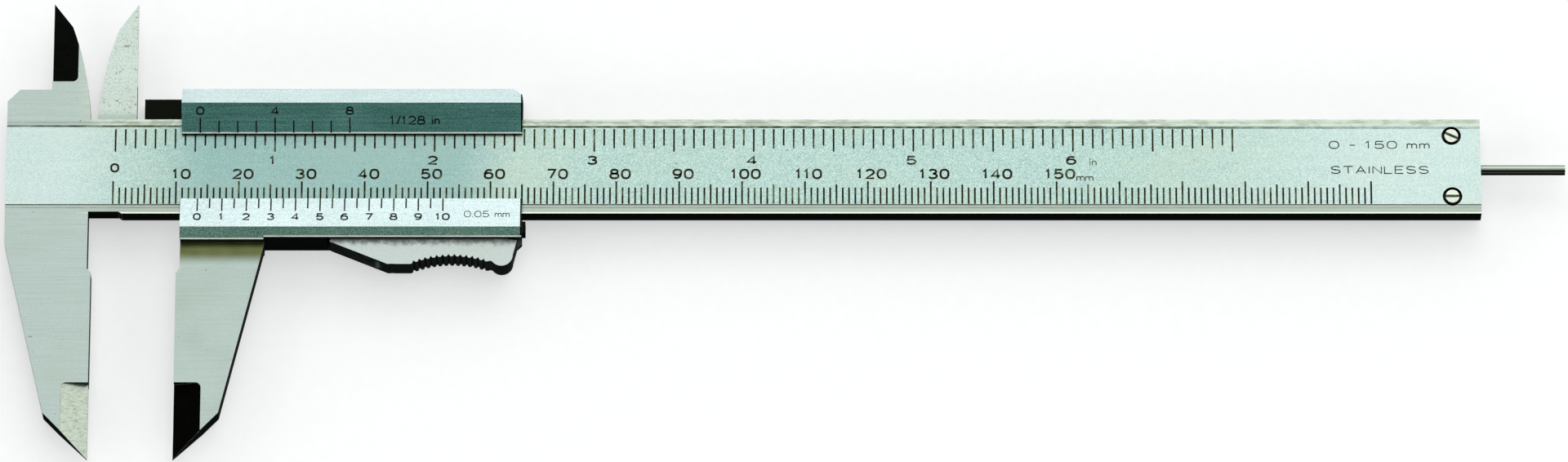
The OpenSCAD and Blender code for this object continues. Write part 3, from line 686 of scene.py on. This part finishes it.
SIX = [(False, arc(0.56, 0.40, 0.54, 0.58, 55, 180, 10)), (True, oval(0.5, 0.31, 0.48, 0.31))]
GLYPHS = {
    "0": [(True, oval(0.5, 0.5, 0.5, 0.5))],
    "1": [(False, [(0.0, 0.76), (0.26, 1.0), (0.26, 0.0)])],
    "2": [(False, arc(0.5, 0.7, 0.47, 0.3, 165, -38) + [(0.03, 0.0), (1.0, 0.0)])],
    "3": [(False, arc(0.48, 0.77, 0.42, 0.23, 160, -90)), (False, arc(0.48, 0.27, 0.5, 0.27, 90, -158))],
    "4": [(False, [(0.72, 0.0), (0.72, 1.0), (0.0, 0.27), (1.0, 0.27)])],
    "5": [(False, [(0.92, 1.0), (0.16, 1.0), (0.08, 0.53)] + arc(0.47, 0.31, 0.5, 0.31, 128, -155))],
    "6": SIX,
    "7": [(False, [(0.02, 1.0), (0.98, 1.0), (0.36, 0.0)])],
    "8": [(True, oval(0.5, 0.77, 0.4, 0.23)), (True, oval(0.5, 0.27, 0.5, 0.27))],
    "9": [(closed, [(1 - u, 1 - v) for u, v in points]) for closed, points in SIX],
    "S": [(False, arc(0.5, 0.76, 0.45, 0.24, 20, 270, 10) + arc(0.5, 0.26, 0.48, 0.26, 90, -160, 10))],
    "T": [(False, [(0.0, 1.0), (1.0, 1.0)]), (False, [(0.5, 1.0), (0.5, 0.0)])],
    "A": [(False, [(0.0, 0.0), (0.5, 1.0), (1.0, 0.0)]), (False, [(0.18, 0.33), (0.82, 0.33)])],
    "I": [(False, [(0.06, 0.0), (0.06, 1.0)])],
    "N": [(False, [(0.0, 0.0), (0.0, 1.0), (0.9, 0.0), (0.9, 1.0)])],
    "L": [(False, [(0.0, 1.0), (0.0, 0.0), (0.8, 0.0)])],
    "E": [(False, [(0.85, 1.0), (0.0, 1.0), (0.0, 0.0), (0.85, 0.0)]), (False, [(0.0, 0.52), (0.75, 0.52)])],
    "/": [(False, [(0.0, -0.05), (0.5, 1.05)])],
    "-": [(False, [(0.05, 0.45), (0.6, 0.45)])],
    ".": [(False, [(0.0, 0.03), (0.14, 0.03)])],
    "i": [(False, [(0.06, 0.0), (0.06, 0.62)]), (False, [(0.06, 0.82), (0.06, 0.97)])],
    "n": [(False, [(0.0, 0.0), (0.0, 0.64)]), (False, arch(0.0, 0.6))],
    "m": [(False, [(0.0, 0.0), (0.0, 0.64)]), (False, arch(0.0, 0.5)), (False, arch(0.5, 1.0))],
}
# widths of the letters that aren't as wide as a digit
ADVANCE = {"I": 0.12, "N": 0.9, "L": 0.8, "E": 0.85, "1": 0.6, "/": 0.5, "-": 0.65, ".": 0.14, "i": 0.12,
           "n": 0.6, " ": 0.45}

scale_ink = ink("scale_ink", linear(36, 34, 14), linear(104, 118, 90))
vernier_ink = ink("vernier_ink", linear(40, 44, 34), linear(96, 104, 92))
dark_ink = ink("dark_vernier_ink", linear(12, 16, 14), linear(34, 44, 42))

band = face_at("beam", 100.0, 0.0)
low_bevel = face_at("slide", vernier_x + 20, -8.5)
up_bevel = face_at("slide", vernier_x + 20, 7.5)

# ---- the main scales: 200 mm, and 7 inches in sixteenths ----
INCH = 25.4
inch_zero = 0.25                 # the inch scale's zero line
graduations("mm_graduations", band, "beam", scale_ink, range(201), -6.43,
            {10: -2.6, 5: -3.13, 1: -3.66}, 0.29)
graduations("inch_graduations", band, "beam", scale_ink, [inch_zero + i * INCH / 16 for i in range(113)], 6.3,
            {8: 2.45, 2: 2.99, 1: 3.49}, 0.28)

mm_digits = Lettering(1.46, 1.27, 0.56, 0.34)
# each number stands a little right of its line, the first one further
rows = [(str(i), i + (0.85 if i == 10 else 0.6), -1.35, mm_digits) for i in range(10, 151, 10)]
rows += [("0", 0.2, -0.31, Lettering(1.26, 1.12, 0.6, 0.32)),
         ("mm", 154.5, -1.95, Lettering(1.1, 1.15, 0.25, 0.15))]
lettering("mm_numerals", band, "beam", scale_ink, rows)

inch_digits = Lettering(1.26, 1.4, 0.4, 0.31)
rows = [(str(i), i * INCH - 0.05, 0.98, inch_digits) for i in range(1, 7)]
rows += [("in", 155.8, 0.7, Lettering(1.1, 1.0, 0.3, 0.15))]
lettering("inch_numerals", band, "beam", scale_ink, rows)

NOTE_X = 201.4                   # middle of both notes at the beam's right end
note = Lettering(1.2, 1.5, 0.5, 0.17)
rows = [("0 - 150 mm", NOTE_X, 3.6, note), ("STAINLESS", NOTE_X, -0.66, note)]
lettering("range_note", band, "beam", scale_ink, rows)

# ---- the lower vernier: 20 divisions over 39 mm ----
graduations("mm_vernier_lines", low_bevel, "slide", vernier_ink, [vernier_x + 39 / 20 * i for i in range(21)],
            LOW_EDGE - 0.02, {2: LOW_EDGE - 2.4, 1: LOW_EDGE - 1.88}, 0.24)
vernier_digits = Lettering(1.1, 1.02, 0.4, 0.27)
rows = [(str(i), vernier_x + 39 / 10 * i, LOW_EDGE - 3.5, vernier_digits) for i in range(11)]
rows += [("0.05 mm", vernier_x + 46.0, LOW_EDGE - 3.0, Lettering(1.1, 1.0, 0.26, 0.13))]
lettering("mm_vernier_numerals", low_bevel, "slide", vernier_ink, rows)

# ---- the upper vernier: 8 divisions over 15/16 inch ----
upper_zero = vernier_x + inch_zero
upper_step = 2.976               # 15/128 inch
graduations("inch_vernier_lines", up_bevel, "slide", dark_ink,
            [upper_zero + upper_step * i for i in range(9)], UP_EDGE + 0.1,
            {4: UP_EDGE + 2.25, 1: UP_EDGE + 1.83}, 0.24)
upper_digits = Lettering(1.0, 1.1, 0.3, 0.24)
rows = [(str(i), upper_zero + upper_step * i, UP_EDGE + 3.27, upper_digits) for i in (0, 4, 8)]
rows += [("1/128 in", vernier_x + 34.4, UP_EDGE + 1.9, Lettering(1.1, 1.1, 0.34, 0.22))]
lettering("inch_vernier_numerals", up_bevel, "slide", dark_ink, rows)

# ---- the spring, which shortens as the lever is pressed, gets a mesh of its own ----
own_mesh(nodes["lever_spring"])


# ---- floor and light ----
def paper_floor(half, under):
    """White paper that glows a little, so that shadows on it stay weak."""
    mesh = bpy.data.meshes.new("floor")
    corners = [(x * half, y * half, -under) for x, y in ((-1, -1), (1, -1), (1, 1), (-1, 1))]
    mesh.from_pydata(corners, [], [(0, 1, 2, 3)])
    floor = bpy.data.objects.new("floor", mesh)
    scene.collection.objects.link(floor)
    floor.visible_glossy = False
    material, g = new_material("floor_paper")
    fibre = g.noise(g.here()[0], even(0.5), 3.0, 0.6)
    paper = g.mix(g.ramp(fibre, 0.3, 0.7), (0.47, 0.472, 0.47), (0.485, 0.487, 0.485))
    shader = close(g, paper, 0.9, 0.0)
    shader.inputs["Emission Color"].default_value = (1.0, 1.0, 1.0, 1.0)
    shader.inputs["Emission Strength"].default_value = 0.5
    mesh.materials.append(material)


def studio_sky():
    """A dome, bright on the far side, teal on the near side and dark on the left, with a low bright ring."""
    world = bpy.data.worlds.new("studio")
    scene.world = world
    world.use_nodes = True
    g = Graph(world.node_tree)
    towards = g.node("ShaderNodeTexCoord").outputs["Generated"]
    x, y, z = g.node("ShaderNodeSeparateXYZ", {0: towards}).outputs
    far = g.ramp(y, -0.5, 0.75, 0.08, 1.3, False)
    left = g.ramp(x, -0.42, -0.1, 0.05, 1.0)
    dome = g.times(far, left, g.ramp(z, -0.05, 0.1, 0.05, 1.0))
    tint = g.mix(g.ramp(y, -0.5, 0.2), (0.5, 1.0, 0.93), even(1.0))
    sky = g.mix(1.0, g.grey(dome), tint, "MULTIPLY")
    ring = g.times(g.falls(z, 0.42, 0.6), g.ramp(z, -0.02, 0.06), g.ramp(y, -0.8, -0.1, 0.8, 1.0), 2.4)
    sky = g.mix(1.0, sky, g.grey(ring), "LIGHTEN")
    light = g.node("ShaderNodeBackground", {"Color": sky, "Strength": 1.0})
    g.node("ShaderNodeOutputWorld", {"Surface": light.outputs[0]})


def area_light(name, place, size, power):
    data = bpy.data.lights.new(name, "AREA")
    data.shape = "RECTANGLE"
    data.size, data.size_y = size
    data.energy = power
    ob = bpy.data.objects.new(name, data)
    scene.collection.objects.link(ob)
    ob.location = place
    ob.rotation_mode = "QUATERNION"
    ob.rotation_quaternion = (-Vector(place)).to_track_quat("-Z", "Y")
    ob.visible_camera = False


paper_floor(half=20.0, under=0.02 * MM)
studio_sky()
area_light("far_softbox", (0.1, 1.5, 1.05), (1.8, 0.7), 6.0)
area_light("top_softbox", (0.15, 0.35, 1.9), (1.6, 1.2), 4.0)

# ---- camera: tilted towards -Y from straight above, far away with a long lens ----
TILT = math.radians(20.5)
AWAY = 1.8
aim = Vector((-0.29 * MM, -0.69 * MM, band_z))
camera_data = bpy.data.cameras.new("camera")
camera_data.lens = 260.34
camera_data.sensor_width = 36.0
camera_data.clip_start, camera_data.clip_end = 0.01, 100.0
camera = bpy.data.objects.new("camera", camera_data)
scene.collection.objects.link(camera)
camera.location = aim + AWAY * Vector((0, -math.sin(TILT), math.cos(TILT)))
camera.rotation_euler = (TILT, 0, 0)
scene.camera = camera
scene.view_settings.view_transform = "Standard"
